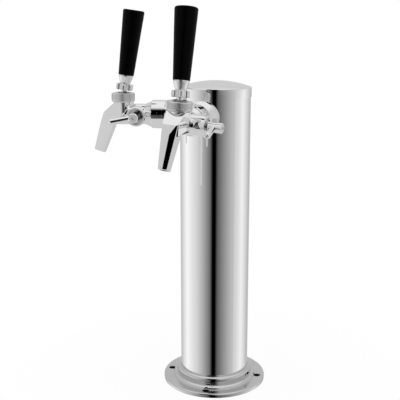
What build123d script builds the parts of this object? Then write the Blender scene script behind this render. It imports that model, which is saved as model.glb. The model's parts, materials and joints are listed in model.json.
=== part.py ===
from build123d import *
from math import acos, atan2, cos, hypot, radians, sin, tan
import os

# Beer tower with two lever taps, in millimetres. Z is up, the taps look towards -Y,
# and the origin is the centre of the base flange's underside.
# Each tap is modelled looking straight along -Y and is then turned to its place.
# In a tap, "forward" is the distance from the column's axis and "lateral" is +X.

# ---- fits shared by all pieces ----
SEAT_GAP = 0.1
THREAD_GAP = 0.05
RUNNING_GAP = 0.1
BALL_GAP = 0.2
LOOSE_GAP = 0.3

# ---- column, base and cap ----
COLUMN_RADIUS = 38.1
COLUMN_WALL = 1.5
COLUMN_OVER_SHANK = 29.1
FLANGE_RADIUS = 57.7
FLANGE_THICKNESS = 4.5
FLANGE_EDGE_ROUND = 1.4
LINE_PASSAGE_RADIUS = 34.0
COLLAR_HEIGHT = 11.5
COLLAR_LIP = 2.8
COLLAR_WALL = 4.5
COLLAR_FLARE = 4.3
COLLAR_FLARE_RISE = 3.1
COLLAR_FLARE_HOLLOW = 0.9
BOLT_EDGE_DISTANCE = 7.9
BOLT_COUNT = 4
BOLT_START_ANGLE = 46.6
BOLT_HOLE_RADIUS = 2.75
BOLT_SINK_RADIUS = 4.2
BOLT_SINK_ANGLE = 90
SCREW_RADIUS = 1.5
SCREW_LENGTH = 3.4
SCREW_RISE = 7.4
SCREW_ANGLE = 23.5
SCREW_SOCKET_FLATS = 1.5
SCREW_SOCKET_DEPTH = 1.5
CAP_WALL = 0.7
CAP_SKIRT_OVERLAP = 9.6
CAP_RISE = 6.9
CAP_SHOULDER_ROUND = 1.2

# ---- shank through the column wall ----
SHANK_HEIGHT = 302.9
SHANK_RADIUS = 9.0
SHANK_BORE_RADIUS = 3.5
SHANK_INSIDE_LENGTH = 13.9
SHANK_HEAD_RADIUS = 11.2
SHANK_HEAD_LENGTH = 3.0
ROSE_RADIUS = 17.6
ROSE_RIM_THICKNESS = 4.0
ROSE_CONE_LENGTH = 4.0
ROSE_HUB_RADIUS = 13.4
ROSE_LENGTH = 14.5
SADDLE_WASHER_RADIUS = 12.5
SADDLE_WASHER_DEPTH = 4.6
LOCK_NUT_FLATS = 24.0
LOCK_NUT_THICKNESS = 4.5
INLET_GASKET_THICKNESS = 1.2
INLET_FLANGE_RADIUS = 8.6
INLET_FLANGE_THICKNESS = 1.6
INLET_TUBE_RADIUS = 4.76
INLET_TUBE_WALL = 1.3
INLET_BEND_RADIUS = 6.0
INLET_TAIL_LENGTH = 34.0
HEX_FLAT_TURN = 30.0
UNION_NUT_FLATS = 21.0
UNION_NUT_WALL = 2.0
UNION_NUT_GRIP = 3.8

# ---- coupling nut ----
NUT_RADIUS = 15.3
NUT_LENGTH = 16.0
NUT_SHOULDER = 2.2
NUT_EDGE = 0.8
NUT_GROOVE_PLACE = 3.2
NUT_GROOVE_WIDTH = 0.7
NUT_GROOVE_DEPTH = 0.4
SPANNER_HOLE_RADIUS = 2.2
SPANNER_HOLE_DEPTH = 2.4
SPANNER_HOLE_PLACE = 7.1
SPANNER_HOLE_COUNT = 4
COUPLING_GASKET_THICKNESS = 1.5

# ---- faucet body ----
TAIL_RADIUS = 11.4
TAIL_BORE_RADIUS = 9.0
TAIL_TAPER_LENGTH = 11.9
FLARE_RADIUS = 13.8
FLARE_LENGTH = 6.6
BARREL_RADIUS = 11.1
VALVE_BORE_RADIUS = 7.5
SEAT_REACH = 9.6
PORT_RADIUS = 4.4
TOWER_REACH = 17.0
TOWER_RADIUS = 11.4
TOWER_RISE = 13.1
NECK_RADIUS = 10.1
NECK_HEIGHT = 3.0
POCKET_RADIUS = 8.3
POCKET_DROP = 8.2
LEVER_HOLE_RADIUS = 5.6
SPOUT_REACH = 27.1
SPOUT_DROP = 40.3
SPOUT_TILT = 18.8
SPOUT_LENGTH = 62.0
SPOUT_TIP_WIDTH = 9.0
SPOUT_TIP_DEPTH = 12.6
SPOUT_TIP_FACET = 4.0
SPOUT_TIP_REAR_CHAMFER = 1.3
SPOUT_TOP_WIDTH = 19.1
SPOUT_TOP_DEPTH = 20.3
SPOUT_TOP_FACET = 6.9
SPOUT_TOP_REAR_CHAMFER = 1.8
SPOUT_FACET_ANGLE = 18.2
SPOUT_BORE_RADIUS = 3.9
SPOUT_BORE_LENGTH = 40.0
SPOUT_LIP = 0.5
KNEE_REACH = 20.5
KNEE_RISE = 2.2
SHOULDER_REACH = 9.9
SHOULDER_RISE = 11.6
KNEE_ROUND = 6.6

# ---- flow control: cross spindle, lever and cone ----
SPINDLE_REACH = 14.4
SPINDLE_DROP = 0.8
BOSS_RADIUS = 10.3
BOSS_END = 23.2
BOSS_EDGE = 0.8
BOSS_BORE_RADIUS = 6.0
GLAND_SEAT = 13.0
GLAND_RADIUS = 8.0
GLAND_RECESS = 3.0
SPINDLE_RADIUS = 3.5
SPINDLE_END_RADIUS = 2.5
CRANK_START = 7.8
CRANK_THICKNESS = 2.2
CRANK_RADIUS = 5.6
CRANK_THROW = 3.2
CRANK_PIN_RADIUS = 1.5
CRANK_PIN_REACH = 3.2
CRANK_MID_TURN = 30.0
CRANK_SWING = 45.0
SPINDLE_SEAL_CORD = 1.15
FLOW_HUB_START = 24.8
FLOW_HUB_LENGTH = 8.4
FLOW_HUB_RADIUS = 5.0
FLOW_ARM_RADIUS = 3.25
FLOW_ARM_LENGTH = 25.2
FLOW_ARM_DROP = 10.5
FLOW_ARM_SPLAY = 9.5
FLOW_ARM_DIMPLE_RADIUS = 1.1
FLOW_ARM_DIMPLE_DEPTH = 1.0
KNOB_RADIUS = 5.2
KNOB_LENGTH = 5.9
KNOB_EDGE = 0.8
KNOB_SOCKET_FLATS = 3.0
KNOB_SOCKET_DEPTH = 2.0
CONE_GAP = 0.8
CONE_PLACE = 4.1
CONE_LENGTH = 8.3
CONE_STEM_RADIUS = 5.8
CONE_SLOT_DEPTH = 2.9
CONE_SLOT_WALL = 0.9

# ---- plunger ----
PLUNGER_GUIDE_LENGTH = 3.0
PLUNGER_SLOT_WALL = 1.0
PLUNGER_CORE_RADIUS = 6.6
PLUNGER_FLAT_RISE = 3.0
PLUNGER_FLAT_DROP = 5.2
PLUNGER_NOTCH_RADIUS = 1.6
PLUNGER_NOTCH_COUNT = 8
PLUNGER_SLOT_HALF_WIDTH = 4.0
PLUNGER_SLOT_DROP = 3.3
PLUNGER_SEAL_THICKNESS = 2.0
PLUNGER_SEAL_RADIUS = 6.6
PLUNGER_NOSE_RADIUS = 2.5
PLUNGER_RIVET_RADIUS = 2.9
PLUNGER_RIVET_LENGTH = 0.8

# ---- bonnet and ball lever ----
PIVOT_RISE = 3.5
BALL_RADIUS = 7.5
BALL_SEAT_RADIUS = 8.1
BALL_SEAT_THICKNESS = 3.5
BALL_WASHER_RADIUS = 8.8
BALL_WASHER_RISE = 3.3
BALL_WASHER_THICKNESS = 2.3
BONNET_RADIUS = 12.5
BONNET_FOOT_RADIUS = 11.6
BONNET_FOOT_HEIGHT = 1.6
BONNET_SHOULDER_RISE = 6.0
BONNET_DOME = 1.0
BONNET_MOUTH_RADIUS = 7.2
BONNET_EDGE = 0.5
LEVER_LEAN = 8.3
LEVER_NECK_RADIUS = 3.0
LEVER_NECK_LENGTH = 9.4
LEVER_STUD_RADIUS = 4.0
LEVER_STUD_END = 48.0
LEVER_TIP_RADIUS = 2.8
LEVER_TIP_STEM_RADIUS = 1.9
COLLAR_BOTTOM = 9.5
COLLAR_THICKNESS = 6.3
STAR_RADIUS = 9.5
STAR_LOBES = 6
STAR_LOBE_RADIUS = 3.0
STAR_CORE_RADIUS = 7.4
STAR_EDGE = 1.0
FERRULE_LENGTH = 9.6
FERRULE_BOTTOM_RADIUS = 5.35
FERRULE_TOP_RADIUS = 7.9
FERRULE_LIP = 1.2
GRIP_LENGTH = 68.5
GRIP_BOTTOM_RADIUS = 8.3
GRIP_TOP_RADIUS = 11.5
GRIP_TOP_ROUND = 2.0
GRIP_BOTTOM_ROUND = 0.6

# ---- where the two taps sit, how each faucet is turned in its nut and its handle leans ----
TAP_ANGLES = {"left": -36.5, "right": 36.5}
FAUCET_ROLLS = {"left": 0.0, "right": 4.6}
HANDLE_ROLLS = {"left": 0.0, "right": 1.2}
NUT_TURNS = {"left": -10.0, "right": -26.0}

# ---- places worked out from the sizes above ----
COLUMN_BORE_RADIUS = COLUMN_RADIUS - COLUMN_WALL
COLUMN_TOP = SHANK_HEIGHT + COLUMN_OVER_SHANK
CAP_BORE_RADIUS = COLUMN_RADIUS + RUNNING_GAP
CAP_RADIUS = CAP_BORE_RADIUS + CAP_WALL
CAP_SKIRT_BOTTOM = COLUMN_TOP - CAP_SKIRT_OVERLAP
CAP_SHOULDER = COLUMN_TOP + 2 * LOOSE_GAP
CAP_APEX = CAP_SHOULDER + CAP_RISE
BOLT_CIRCLE_RADIUS = FLANGE_RADIUS - BOLT_EDGE_DISTANCE
COLLAR_TOP = FLANGE_THICKNESS + COLLAR_HEIGHT
COLLAR_CORNER_RADIUS = COLUMN_RADIUS + COLLAR_WALL
COLLAR_FOOT_RADIUS = COLLAR_CORNER_RADIUS + COLLAR_FLARE
NUT_BACK = COLUMN_RADIUS + ROSE_LENGTH
NUT_FRONT = NUT_BACK + NUT_LENGTH
ROSE_RIM_FRONT = COLUMN_RADIUS + ROSE_RIM_THICKNESS
ROSE_HUB_START = ROSE_RIM_FRONT + ROSE_CONE_LENGTH
SPANNER_HOLE_FORWARD = NUT_BACK + SPANNER_HOLE_PLACE
SHANK_HEAD_BACK = NUT_BACK + NUT_SHOULDER
SHANK_HEAD_FRONT = SHANK_HEAD_BACK + SHANK_HEAD_LENGTH
BODY_BACK = SHANK_HEAD_FRONT + COUPLING_GASKET_THICKNESS
FLARE_START = NUT_FRONT + LOOSE_GAP
FLARE_END = FLARE_START + FLARE_LENGTH
TAIL_TAPER_END = BODY_BACK + TAIL_TAPER_LENGTH
SADDLE_WASHER_BACK = COLUMN_BORE_RADIUS - SADDLE_WASHER_DEPTH
LOCK_NUT_BACK = SADDLE_WASHER_BACK - LOCK_NUT_THICKNESS
SHANK_INNER_END = COLUMN_BORE_RADIUS - SHANK_INSIDE_LENGTH
INLET_GASKET_BACK = SHANK_INNER_END - INLET_GASKET_THICKNESS
INLET_FLANGE_BACK = INLET_GASKET_BACK - INLET_FLANGE_THICKNESS
UNION_NUT_BACK = INLET_FLANGE_BACK - UNION_NUT_WALL
UNION_NUT_FRONT = SHANK_INNER_END + UNION_NUT_GRIP
SPINDLE_FORWARD = NUT_FRONT + SPINDLE_REACH
SPINDLE_HEIGHT = SHANK_HEIGHT - SPINDLE_DROP
TOWER_FORWARD = SPINDLE_FORWARD + TOWER_REACH
TOWER_TOP = SHANK_HEIGHT + TOWER_RISE
SEAT_FORWARD = TOWER_FORWARD + SEAT_REACH
SPOUT_TIP_FORWARD = TOWER_FORWARD + SPOUT_REACH
SPOUT_TIP_HEIGHT = SHANK_HEIGHT - SPOUT_DROP
KNEE_FORWARD = TOWER_FORWARD + KNEE_REACH
KNEE_HEIGHT = SHANK_HEIGHT + KNEE_RISE
SHOULDER_FORWARD = TOWER_FORWARD + SHOULDER_REACH
SHOULDER_HEIGHT = SHANK_HEIGHT + SHOULDER_RISE
GLAND_END = BOSS_END - GLAND_RECESS
FLOW_HUB_END = FLOW_HUB_START + FLOW_HUB_LENGTH
FLOW_ARM_LATERAL = FLOW_HUB_START + FLOW_HUB_LENGTH / 2
KNOB_END = FLOW_HUB_END + KNOB_LENGTH
CRANK_PIN_FORWARD = SPINDLE_FORWARD - CRANK_THROW * sin(radians(CRANK_MID_TURN))
CRANK_PIN_HEIGHT = SPINDLE_HEIGHT - CRANK_THROW * cos(radians(CRANK_MID_TURN))
CRANK_SLOT_REACH = CRANK_PIN_RADIUS + LOOSE_GAP
CONE_BACK = BODY_BACK + CONE_PLACE
CONE_FRONT = CONE_BACK + CONE_LENGTH
CONE_STEM_FRONT = CRANK_PIN_FORWARD + CRANK_SLOT_REACH + CONE_SLOT_WALL
PIVOT_HEIGHT = TOWER_TOP + PIVOT_RISE
POCKET_FLOOR = PIVOT_HEIGHT - POCKET_DROP
BALL_WASHER_BOTTOM = PIVOT_HEIGHT + BALL_WASHER_RISE
BALL_WASHER_TOP = BALL_WASHER_BOTTOM + BALL_WASHER_THICKNESS
BONNET_SHOULDER = PIVOT_HEIGHT + BONNET_SHOULDER_RISE
BONNET_TOP = BONNET_SHOULDER + BONNET_DOME
BONNET_BOTTOM = TOWER_TOP
TIP_ARM = PIVOT_HEIGHT - SHANK_HEIGHT
TIP_FORWARD = TOWER_FORWARD + TIP_ARM * sin(radians(LEVER_LEAN))
TIP_SLOT_REACH = LEVER_TIP_RADIUS + LOOSE_GAP
PLUNGER_FRONT = SEAT_FORWARD - PLUNGER_SEAL_THICKNESS
PLUNGER_GUIDE_FRONT = TIP_FORWARD - TIP_SLOT_REACH - PLUNGER_SLOT_WALL
PLUNGER_BACK = PLUNGER_GUIDE_FRONT - PLUNGER_GUIDE_LENGTH
COLLAR_UPPER = COLLAR_BOTTOM + COLLAR_THICKNESS
FERRULE_TOP = COLLAR_UPPER + FERRULE_LENGTH
GRIP_TOP = FERRULE_TOP + GRIP_LENGTH

# ---- where the collar's grub screw meets the column ----
SCREW_OUT = Vector(cos(radians(SCREW_ANGLE)), sin(radians(SCREW_ANGLE)), 0)
SCREW_FOOT = SCREW_OUT * COLUMN_RADIUS + Vector(0, 0, FLANGE_THICKNESS + SCREW_RISE)
SCREW_SEAT = Plane(origin=SCREW_FOOT, z_dir=SCREW_OUT)

# ---- planes and axes of a tap that looks along -Y ----
TAP_AXIS = Axis((0, 0, SHANK_HEIGHT), (0, -1, 0))
TAP_SIDE = Plane(origin=(0, 0, 0), x_dir=(0, -1, 0), z_dir=(-1, 0, 0))
TOWER_AXIS = Axis((0, -TOWER_FORWARD, 0), (0, 0, 1))
SPINDLE_AXIS = Axis((0, -SPINDLE_FORWARD, SPINDLE_HEIGHT), (1, 0, 0))
ROLL_AXIS = Axis((0, 0, SHANK_HEIGHT), (0, 1, 0))
PIVOT = Vector(0, -TOWER_FORWARD, PIVOT_HEIGHT)
LEVER_UP = Vector(0, sin(radians(LEVER_LEAN)), cos(radians(LEVER_LEAN)))
LEVER_ACROSS = Plane(origin=PIVOT, x_dir=(1, 0, 0), z_dir=LEVER_UP)
LEVER_SIDE = Plane(origin=PIVOT, x_dir=LEVER_ACROSS.y_dir, z_dir=(1, 0, 0))
LEVER_AXIS = Axis(PIVOT, LEVER_UP)
SPOUT_UP = Vector(0, sin(radians(SPOUT_TILT)), cos(radians(SPOUT_TILT)))
SPOUT_END = Plane(origin=(0, -SPOUT_TIP_FORWARD, SPOUT_TIP_HEIGHT), x_dir=(1, 0, 0), z_dir=SPOUT_UP)


def across_tap(forward):
    """Plane across the tap axis at a forward distance, with X lateral and Y up."""
    return Plane(origin=(0, -forward, SHANK_HEIGHT), x_dir=(1, 0, 0), z_dir=(0, -1, 0))


def across_spindle(lateral):
    """Plane across the flow spindle at a lateral distance, with X backward and Y up."""
    return Plane(origin=(lateral, -SPINDLE_FORWARD, SPINDLE_HEIGHT), x_dir=(0, 1, 0), z_dir=(1, 0, 0))


def turn_on_tap(points, mode=Mode.ADD):
    """Turn an outline of (forward, radius) points about the tap axis."""
    with BuildSketch(TAP_SIDE) as outline:
        with BuildLine():
            Polyline(*[(forward, SHANK_HEIGHT + radius) for forward, radius in points], close=True)
        make_face()
    revolve(outline.sketch, axis=TAP_AXIS, mode=mode)


def turn_on_tower(points, mode=Mode.ADD):
    """Turn an outline of (radius, height) points about the bonnet's upright axis."""
    with BuildSketch(TAP_SIDE) as outline:
        with BuildLine():
            Polyline(*[(TOWER_FORWARD + radius, height) for radius, height in points], close=True)
        make_face()
    revolve(outline.sketch, axis=TOWER_AXIS, mode=mode)


def turn_on_spindle(points, mode=Mode.ADD):
    """Turn an outline of (lateral, radius) points about the flow spindle's axis."""
    with BuildSketch(Plane.XY.offset(SPINDLE_HEIGHT)) as outline:
        with BuildLine():
            Polyline(*[(lateral, radius - SPINDLE_FORWARD) for lateral, radius in points], close=True)
        make_face()
    revolve(outline.sketch, axis=SPINDLE_AXIS, mode=mode)


def turn_on_lever(points, mode=Mode.ADD):
    """Turn an outline of (radius, distance up the lever) points about the lever's axis."""
    with BuildSketch(LEVER_SIDE) as outline:
        with BuildLine():
            Polyline(*points, close=True)
        make_face()
    revolve(outline.sketch, axis=LEVER_AXIS, mode=mode)


def cut_ball_seat():
    """Cut a spherical seat for the lever's ball."""
    with Locations(PIVOT):
        Sphere(BALL_RADIUS + BALL_GAP, mode=Mode.SUBTRACT)


# ---------------------------------------------------------------- tower

def make_base_flange():
    with BuildPart() as base_flange:
        with BuildSketch():
            Circle(FLANGE_RADIUS)
            Circle(LINE_PASSAGE_RADIUS, mode=Mode.SUBTRACT)
        extrude(amount=FLANGE_THICKNESS)
        rim = base_flange.edges().filter_by(GeomType.CIRCLE).sort_by(SortBy.RADIUS)[-2:]
        fillet(rim.sort_by(Axis.Z)[-1], FLANGE_EDGE_ROUND)
        collar_bore = COLUMN_RADIUS + SEAT_GAP
        with BuildSketch(Plane.XZ):
            with BuildLine():
                foot = (COLLAR_FOOT_RADIUS, FLANGE_THICKNESS)
                wall_foot = (COLLAR_CORNER_RADIUS, FLANGE_THICKNESS + COLLAR_FLARE_RISE)
                corner = (COLLAR_CORNER_RADIUS, COLLAR_TOP - COLLAR_LIP)
                lip = (COLLAR_CORNER_RADIUS - COLLAR_LIP, COLLAR_TOP)
                Line((collar_bore, FLANGE_THICKNESS), foot)
                SagittaArc(foot, wall_foot, -COLLAR_FLARE_HOLLOW)
                Line(wall_foot, corner)
                RadiusArc(corner, lip, -COLLAR_LIP)
                Line(lip, (collar_bore, COLLAR_TOP))
                Line((collar_bore, COLLAR_TOP), (collar_bore, FLANGE_THICKNESS))
            make_face()
        revolve(axis=Axis.Z)
        with Locations(Plane.XY.offset(FLANGE_THICKNESS)):
            with PolarLocations(BOLT_CIRCLE_RADIUS, BOLT_COUNT, start_angle=BOLT_START_ANGLE):
                CounterSinkHole(BOLT_HOLE_RADIUS, BOLT_SINK_RADIUS, counter_sink_angle=BOLT_SINK_ANGLE)
        with BuildSketch(SCREW_SEAT):
            Circle(SCREW_RADIUS + THREAD_GAP)
        extrude(amount=COLLAR_FOOT_RADIUS - COLUMN_RADIUS, mode=Mode.SUBTRACT)
    return base_flange.part


def make_collar_screw():
    """Grub screw through the collar that holds the column."""
    with BuildPart() as collar_screw:
        with BuildSketch(SCREW_SEAT):
            Circle(SCREW_RADIUS)
        extrude(amount=SCREW_LENGTH)
        with BuildSketch(SCREW_SEAT.offset(SCREW_LENGTH - SCREW_SOCKET_DEPTH)):
            RegularPolygon(SCREW_SOCKET_FLATS / 2, 6, major_radius=False)
        extrude(amount=SCREW_SOCKET_DEPTH, mode=Mode.SUBTRACT)
    return collar_screw.part


def make_column_tube():
    with BuildPart() as column_tube:
        with BuildSketch(Plane.XY.offset(FLANGE_THICKNESS)):
            Circle(COLUMN_RADIUS)
            Circle(COLUMN_BORE_RADIUS, mode=Mode.SUBTRACT)
        extrude(amount=COLUMN_TOP - FLANGE_THICKNESS)
        for angle in TAP_ANGLES.values():
            direction = (sin(radians(angle)), -cos(radians(angle)), 0)
            with BuildSketch(Plane(origin=(0, 0, SHANK_HEIGHT), z_dir=direction)):
                Circle(SHANK_RADIUS + SEAT_GAP)
            extrude(amount=COLUMN_RADIUS, mode=Mode.SUBTRACT)
    return column_tube.part


def make_tower_cap():
    with BuildPart() as tower_cap:
        with BuildSketch(Plane.XZ):
            with BuildLine():
                shoulder = (CAP_RADIUS, CAP_SHOULDER)
                inner_shoulder = (CAP_BORE_RADIUS, CAP_SHOULDER)
                rise = CAP_APEX - CAP_SHOULDER
                inner_rise = rise - CAP_WALL
                dome_radius = (CAP_RADIUS ** 2 + rise ** 2) / (2 * rise)
                inner_dome_radius = (CAP_BORE_RADIUS ** 2 + inner_rise ** 2) / (2 * inner_rise)
                Line((CAP_BORE_RADIUS, CAP_SKIRT_BOTTOM), (CAP_RADIUS, CAP_SKIRT_BOTTOM))
                Line((CAP_RADIUS, CAP_SKIRT_BOTTOM), shoulder)
                RadiusArc(shoulder, (0, CAP_APEX), -dome_radius)
                Line((0, CAP_APEX), (0, CAP_APEX - CAP_WALL))
                RadiusArc((0, CAP_APEX - CAP_WALL), inner_shoulder, inner_dome_radius)
                Line(inner_shoulder, (CAP_BORE_RADIUS, CAP_SKIRT_BOTTOM))
            make_face()
        revolve(axis=Axis.Z)
        rims = tower_cap.edges().filter_by(GeomType.CIRCLE)
        shoulders = rims.filter_by_position(Axis.Z, CAP_SHOULDER - LOOSE_GAP, CAP_SHOULDER + LOOSE_GAP)
        fillet(shoulders.sort_by(SortBy.RADIUS)[-1], CAP_SHOULDER_ROUND)
    return tower_cap.part


# ---------------------------------------------------------------- shank

def make_shank_flange():
    """Round rose whose back is cut to the column's curve."""
    bore = SHANK_RADIUS + THREAD_GAP
    with BuildPart() as shank_flange:
        turn_on_tap([
            (0, bore),
            (0, ROSE_RADIUS),
            (ROSE_RIM_FRONT, ROSE_RADIUS),
            (ROSE_HUB_START, ROSE_HUB_RADIUS),
            (NUT_BACK, ROSE_HUB_RADIUS),
            (NUT_BACK, bore),
        ])
        with BuildSketch():
            Circle(COLUMN_RADIUS + SEAT_GAP)
        extrude(amount=COLUMN_TOP, mode=Mode.SUBTRACT)
    return shank_flange.part


def make_shank():
    with BuildPart() as shank:
        turn_on_tap([
            (SHANK_INNER_END, SHANK_BORE_RADIUS),
            (SHANK_INNER_END, SHANK_RADIUS),
            (SHANK_HEAD_BACK, SHANK_RADIUS),
            (SHANK_HEAD_BACK, SHANK_HEAD_RADIUS),
            (SHANK_HEAD_FRONT, SHANK_HEAD_RADIUS),
            (SHANK_HEAD_FRONT, SHANK_BORE_RADIUS),
        ])
    return shank.part


def make_saddle_washer():
    """Washer inside the column, with its front cut to the bore's curve."""
    with BuildPart() as saddle_washer:
        with BuildSketch(across_tap(SADDLE_WASHER_BACK)):
            Circle(SADDLE_WASHER_RADIUS)
            Circle(SHANK_RADIUS + SEAT_GAP, mode=Mode.SUBTRACT)
        extrude(amount=COLUMN_RADIUS - SADDLE_WASHER_BACK)
        with BuildSketch():
            Circle(COLUMN_BORE_RADIUS - SEAT_GAP)
        extrude(amount=COLUMN_TOP, mode=Mode.INTERSECT)
    return saddle_washer.part


def make_lock_nut():
    with BuildPart() as lock_nut:
        with BuildSketch(across_tap(LOCK_NUT_BACK)):
            RegularPolygon(LOCK_NUT_FLATS / 2, 6, major_radius=False, rotation=HEX_FLAT_TURN)
            Circle(SHANK_RADIUS + THREAD_GAP, mode=Mode.SUBTRACT)
        extrude(amount=LOCK_NUT_THICKNESS)
    return lock_nut.part


def make_inlet_gasket():
    with BuildPart() as inlet_gasket:
        with BuildSketch(across_tap(INLET_GASKET_BACK)):
            Circle(INLET_FLANGE_RADIUS)
            Circle(SHANK_BORE_RADIUS, mode=Mode.SUBTRACT)
        extrude(amount=INLET_GASKET_THICKNESS)
    return inlet_gasket.part


def make_inlet_elbow():
    """Flanged elbow with a plain tail that points down the column."""
    bend_start = (UNION_NUT_BACK, SHANK_HEIGHT)
    bend_end = (UNION_NUT_BACK - INLET_BEND_RADIUS, SHANK_HEIGHT - INLET_BEND_RADIUS)
    with BuildPart() as inlet_elbow:
        with BuildLine(TAP_SIDE) as path:
            Line((INLET_GASKET_BACK, SHANK_HEIGHT), bend_start)
            RadiusArc(bend_start, bend_end, -INLET_BEND_RADIUS)
            Line(bend_end, (bend_end[0], bend_end[1] - INLET_TAIL_LENGTH))
        start = Plane(origin=path.line @ 0, z_dir=path.line % 0)
        with BuildSketch(start):
            Circle(INLET_TUBE_RADIUS)
        sweep(path=path.line)
        with BuildSketch(across_tap(INLET_FLANGE_BACK)):
            Circle(INLET_FLANGE_RADIUS)
        extrude(amount=INLET_FLANGE_THICKNESS)
        with BuildSketch(start):
            Circle(INLET_TUBE_RADIUS - INLET_TUBE_WALL)
        sweep(path=path.line, mode=Mode.SUBTRACT)
    return inlet_elbow.part


def make_union_nut():
    with BuildPart() as union_nut:
        with BuildSketch(across_tap(UNION_NUT_BACK)):
            RegularPolygon(UNION_NUT_FLATS / 2, 6, major_radius=False, rotation=HEX_FLAT_TURN)
            Circle(INLET_TUBE_RADIUS + SEAT_GAP, mode=Mode.SUBTRACT)
        extrude(amount=UNION_NUT_FRONT - UNION_NUT_BACK)
        with BuildSketch(across_tap(INLET_FLANGE_BACK)):
            Circle(SHANK_RADIUS + THREAD_GAP)
        extrude(amount=UNION_NUT_FRONT - INLET_FLANGE_BACK, mode=Mode.SUBTRACT)
    return union_nut.part


def make_coupling_nut():
    """Round nut with spanner holes, held behind the shank's head."""
    groove_back = NUT_BACK + NUT_GROOVE_PLACE
    groove_front = groove_back + NUT_GROOVE_WIDTH
    groove_floor = NUT_RADIUS - NUT_GROOVE_DEPTH
    thread = TAIL_RADIUS + THREAD_GAP
    with BuildPart() as coupling_nut:
        turn_on_tap([
            (NUT_BACK, SHANK_RADIUS + SEAT_GAP),
            (NUT_BACK, NUT_RADIUS - NUT_EDGE),
            (NUT_BACK + NUT_EDGE, NUT_RADIUS),
            (groove_back, NUT_RADIUS),
            (groove_back, groove_floor),
            (groove_front, groove_floor),
            (groove_front, NUT_RADIUS),
            (NUT_FRONT - NUT_EDGE, NUT_RADIUS),
            (NUT_FRONT, NUT_RADIUS - NUT_EDGE),
            (NUT_FRONT, thread),
            (SHANK_HEAD_BACK, thread),
            (SHANK_HEAD_BACK, SHANK_RADIUS + SEAT_GAP),
        ])
        for index in range(SPANNER_HOLE_COUNT):
            angle = radians(index * 360 / SPANNER_HOLE_COUNT)
            outward = Vector(cos(angle), 0, sin(angle))
            centre = Vector(0, -SPANNER_HOLE_FORWARD, SHANK_HEIGHT)
            floor = centre + outward * (NUT_RADIUS - SPANNER_HOLE_DEPTH)
            with BuildSketch(Plane(origin=floor, z_dir=outward)):
                Circle(SPANNER_HOLE_RADIUS)
            extrude(amount=SPANNER_HOLE_DEPTH + NUT_EDGE, mode=Mode.SUBTRACT)
    return coupling_nut.part


def make_coupling_gasket():
    with BuildPart() as coupling_gasket:
        with BuildSketch(across_tap(SHANK_HEAD_FRONT)):
            Circle(SHANK_HEAD_RADIUS)
            Circle(SHANK_BORE_RADIUS, mode=Mode.SUBTRACT)
        extrude(amount=COUPLING_GASKET_THICKNESS)
    return coupling_gasket.part


# ---------------------------------------------------------------- faucet body

def along_spout(tip_size, top_size, height):
    """A size of the spout's section at a height above the tip, measured along the spout."""
    return tip_size + (top_size - tip_size) * height / SPOUT_LENGTH


def spout_outline(height):
    """Eight points of the spout's section, front towards -Y of its plane."""
    half_width = along_spout(SPOUT_TIP_WIDTH, SPOUT_TOP_WIDTH, height) / 2
    half_depth = along_spout(SPOUT_TIP_DEPTH, SPOUT_TOP_DEPTH, height) / 2
    facet = along_spout(SPOUT_TIP_FACET, SPOUT_TOP_FACET, height)
    rear = along_spout(SPOUT_TIP_REAR_CHAMFER, SPOUT_TOP_REAR_CHAMFER, height)
    right = [
        (half_width - facet, -half_depth),
        (half_width, facet * tan(radians(SPOUT_FACET_ANGLE)) - half_depth),
        (half_width, half_depth - rear),
        (half_width - rear, half_depth),
    ]
    return right + [(-x, y) for x, y in reversed(right)]


def make_shoulder():
    """Block that narrows from the round tower to the spout's front, rounded underneath."""
    knee_place = (KNEE_HEIGHT - SPOUT_TIP_HEIGHT) / cos(radians(SPOUT_TILT))
    corner_lateral = along_spout(SPOUT_TIP_WIDTH, SPOUT_TOP_WIDTH, knee_place) / 2
    knee_facet = along_spout(SPOUT_TIP_FACET, SPOUT_TOP_FACET, knee_place)
    corner_reach = KNEE_REACH - knee_facet * tan(radians(SPOUT_FACET_ANGLE))
    corner_distance = hypot(corner_lateral, corner_reach)
    # where a line from the corner just touches the round tower
    touch_angle = atan2(corner_lateral, corner_reach) + acos(TOWER_RADIUS / corner_distance)
    touch_lateral = TOWER_RADIUS * sin(touch_angle)
    touch_forward = TOWER_FORWARD + TOWER_RADIUS * cos(touch_angle)
    corner_forward = TOWER_FORWARD + corner_reach
    with BuildPart() as shoulder:
        with BuildSketch(Plane.XY.offset(SHANK_HEIGHT - TOWER_RADIUS)):
            with BuildLine():
                Polyline(
                    (-touch_lateral, -touch_forward),
                    (-corner_lateral, -corner_forward),
                    (corner_lateral, -corner_forward),
                    (touch_lateral, -touch_forward),
                )
                ThreePointArc(
                    (touch_lateral, -touch_forward),
                    (0, TOWER_RADIUS - TOWER_FORWARD),
                    (-touch_lateral, -touch_forward),
                )
            make_face()
        extrude(amount=TOWER_RADIUS + TOWER_RISE)
        with BuildSketch(across_tap(TOWER_FORWARD - TOWER_RADIUS)):
            Circle(TOWER_RADIUS)
            Rectangle(2 * TOWER_RADIUS, TOWER_RISE, align=(Align.CENTER, Align.MIN))
        extrude(amount=TOWER_RADIUS + corner_reach, mode=Mode.INTERSECT)
    return shoulder.part


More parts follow.
